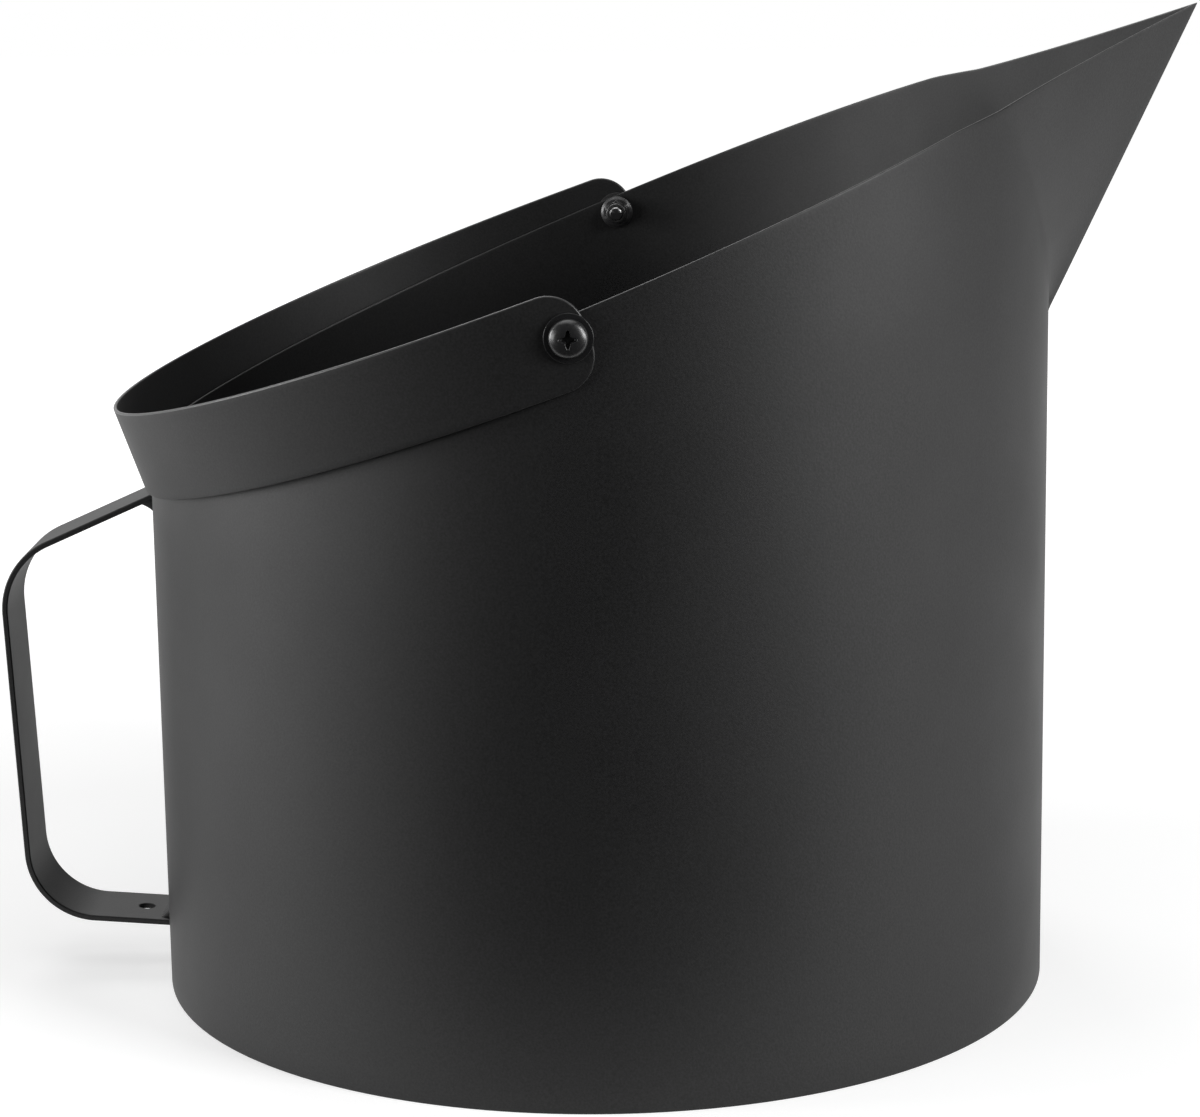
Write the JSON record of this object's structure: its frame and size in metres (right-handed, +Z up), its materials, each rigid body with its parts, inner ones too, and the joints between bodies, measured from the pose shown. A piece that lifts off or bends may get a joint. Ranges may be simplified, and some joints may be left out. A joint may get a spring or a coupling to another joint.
{
  "type": "pellet_bin",
  "caption": "Black sheet-steel pellet bin with a slanted rim, a folded pouring spout, a swinging bail and a fixed strip handle at the back",
  "frame": {"origin": "centre of the base's underside, on the axis of the round wall", "axes": "+X towards the pouring spout, +Y to the left of someone facing that way, +Z up"},
  "size_m": [0.4009, 0.3128, 0.3272],
  "materials": {
    "powder_coat": "fine matte powder coat",
    "black_steel": "gloss black",
    "black_nylon": "satin"
  },
  "bodies": {
    "bucket": {"body_shell": "powder_coat", "base_disc": "powder_coat", "base_weld": "powder_coat", "rear_handle": "powder_coat", "handle_upper_weld": "powder_coat", "handle_lower_weld": "powder_coat", "left_pivot_screw": "black_steel", "left_head_washer": "black_steel", "left_spacer_washer": "black_nylon", "left_lock_nut": "black_steel", "left_nylon_insert": "black_nylon", "right_pivot_screw": "black_steel", "right_head_washer": "black_steel", "right_spacer_washer": "black_nylon", "right_lock_nut": "black_steel", "right_nylon_insert": "black_nylon"},
    "bail": {"bail_handle": "powder_coat"}
  },
  "joints": [
    {"name": "bail_swing", "type": "hinge", "parent": "bucket", "child": "bail", "pos_m": [0, 0, 0.2417], "axis": [0, 1, 0], "range_deg": [0, 170]}
  ]
}
